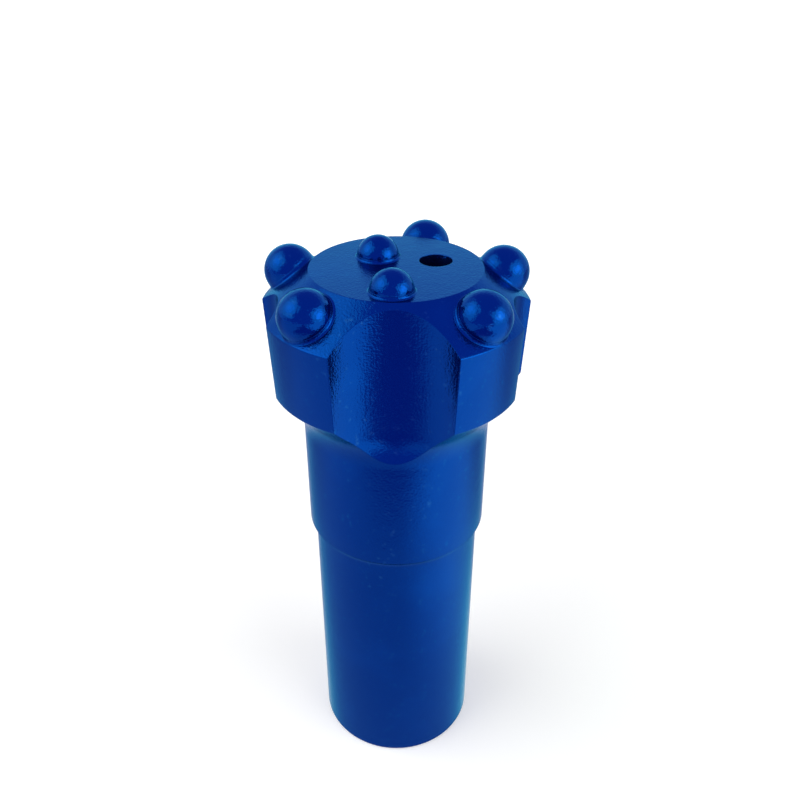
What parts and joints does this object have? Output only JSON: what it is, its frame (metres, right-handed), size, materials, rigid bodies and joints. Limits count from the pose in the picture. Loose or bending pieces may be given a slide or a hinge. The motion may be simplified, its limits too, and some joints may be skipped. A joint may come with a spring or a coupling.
{
  "type": "button drill bit",
  "caption": "Rock drill button bit: stepped round skirt, fluted head with domed carbide buttons, water hole and tapered rod socket, painted glossy blue.",
  "frame": {"origin": "centre of the skirt's open end face, on the bit's axis", "axes": "+Z along the bit's axis from the open end to the cutting face; -Y towards the first wide flute, on the side of the single outer front button"},
  "size_m": [0.0466, 0.0445, 0.1098],
  "materials": {
    "body_paint": "gloss",
    "button_paint": "gloss"
  },
  "bodies": {
    "root": {"bit_body": "body_paint", "gauge_button_1": "button_paint", "gauge_button_2": "button_paint", "gauge_button_3": "button_paint", "gauge_button_4": "button_paint", "gauge_button_5": "button_paint", "front_button_1": "button_paint", "front_button_2": "button_paint"}
  },
  "joints": []
}
